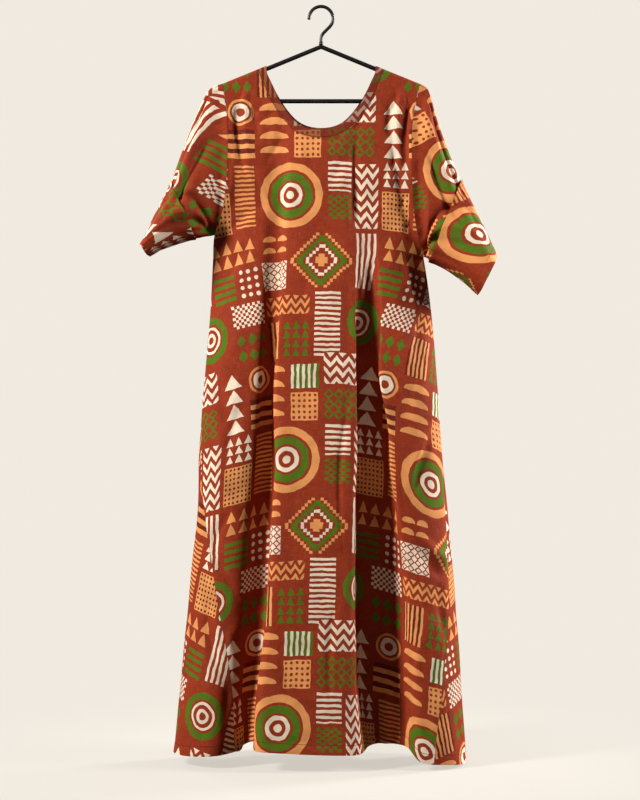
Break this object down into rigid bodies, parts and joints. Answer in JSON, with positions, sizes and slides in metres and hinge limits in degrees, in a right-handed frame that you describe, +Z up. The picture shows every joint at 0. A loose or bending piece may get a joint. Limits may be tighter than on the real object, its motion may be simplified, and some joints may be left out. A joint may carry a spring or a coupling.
{
  "type": "abaya on a hanger",
  "caption": "Long loose A-line robe with a scooped neck and wide half sleeves in an all-over geometric print, hanging on a bent-rod hanger.",
  "frame": {"origin": "inside top of the hanger's hook, where it rests on a rail", "axes": "+Z up, +X to the viewer's right when facing the garment's front, -Y out of the garment's front"},
  "size_m": [0.6867, 0.2085, 1.4789],
  "materials": {
    "printed_cloth": "matte plain-weave cotton, block printed in rust, cream, orange and green",
    "band_cloth": "matte plain-weave cotton, the same print in darker tones",
    "hanger_metal": "satin black coating"
  },
  "bodies": {
    "root": {"front": "printed_cloth", "back": "printed_cloth", "sleeve_left": "printed_cloth", "sleeve_right": "printed_cloth", "cuff_left": "printed_cloth", "cuff_right": "printed_cloth", "neck_band_front": "band_cloth", "neck_band_back": "band_cloth", "hanger_frame": "hanger_metal", "hanger_hook": "hanger_metal"}
  },
  "joints": []
}
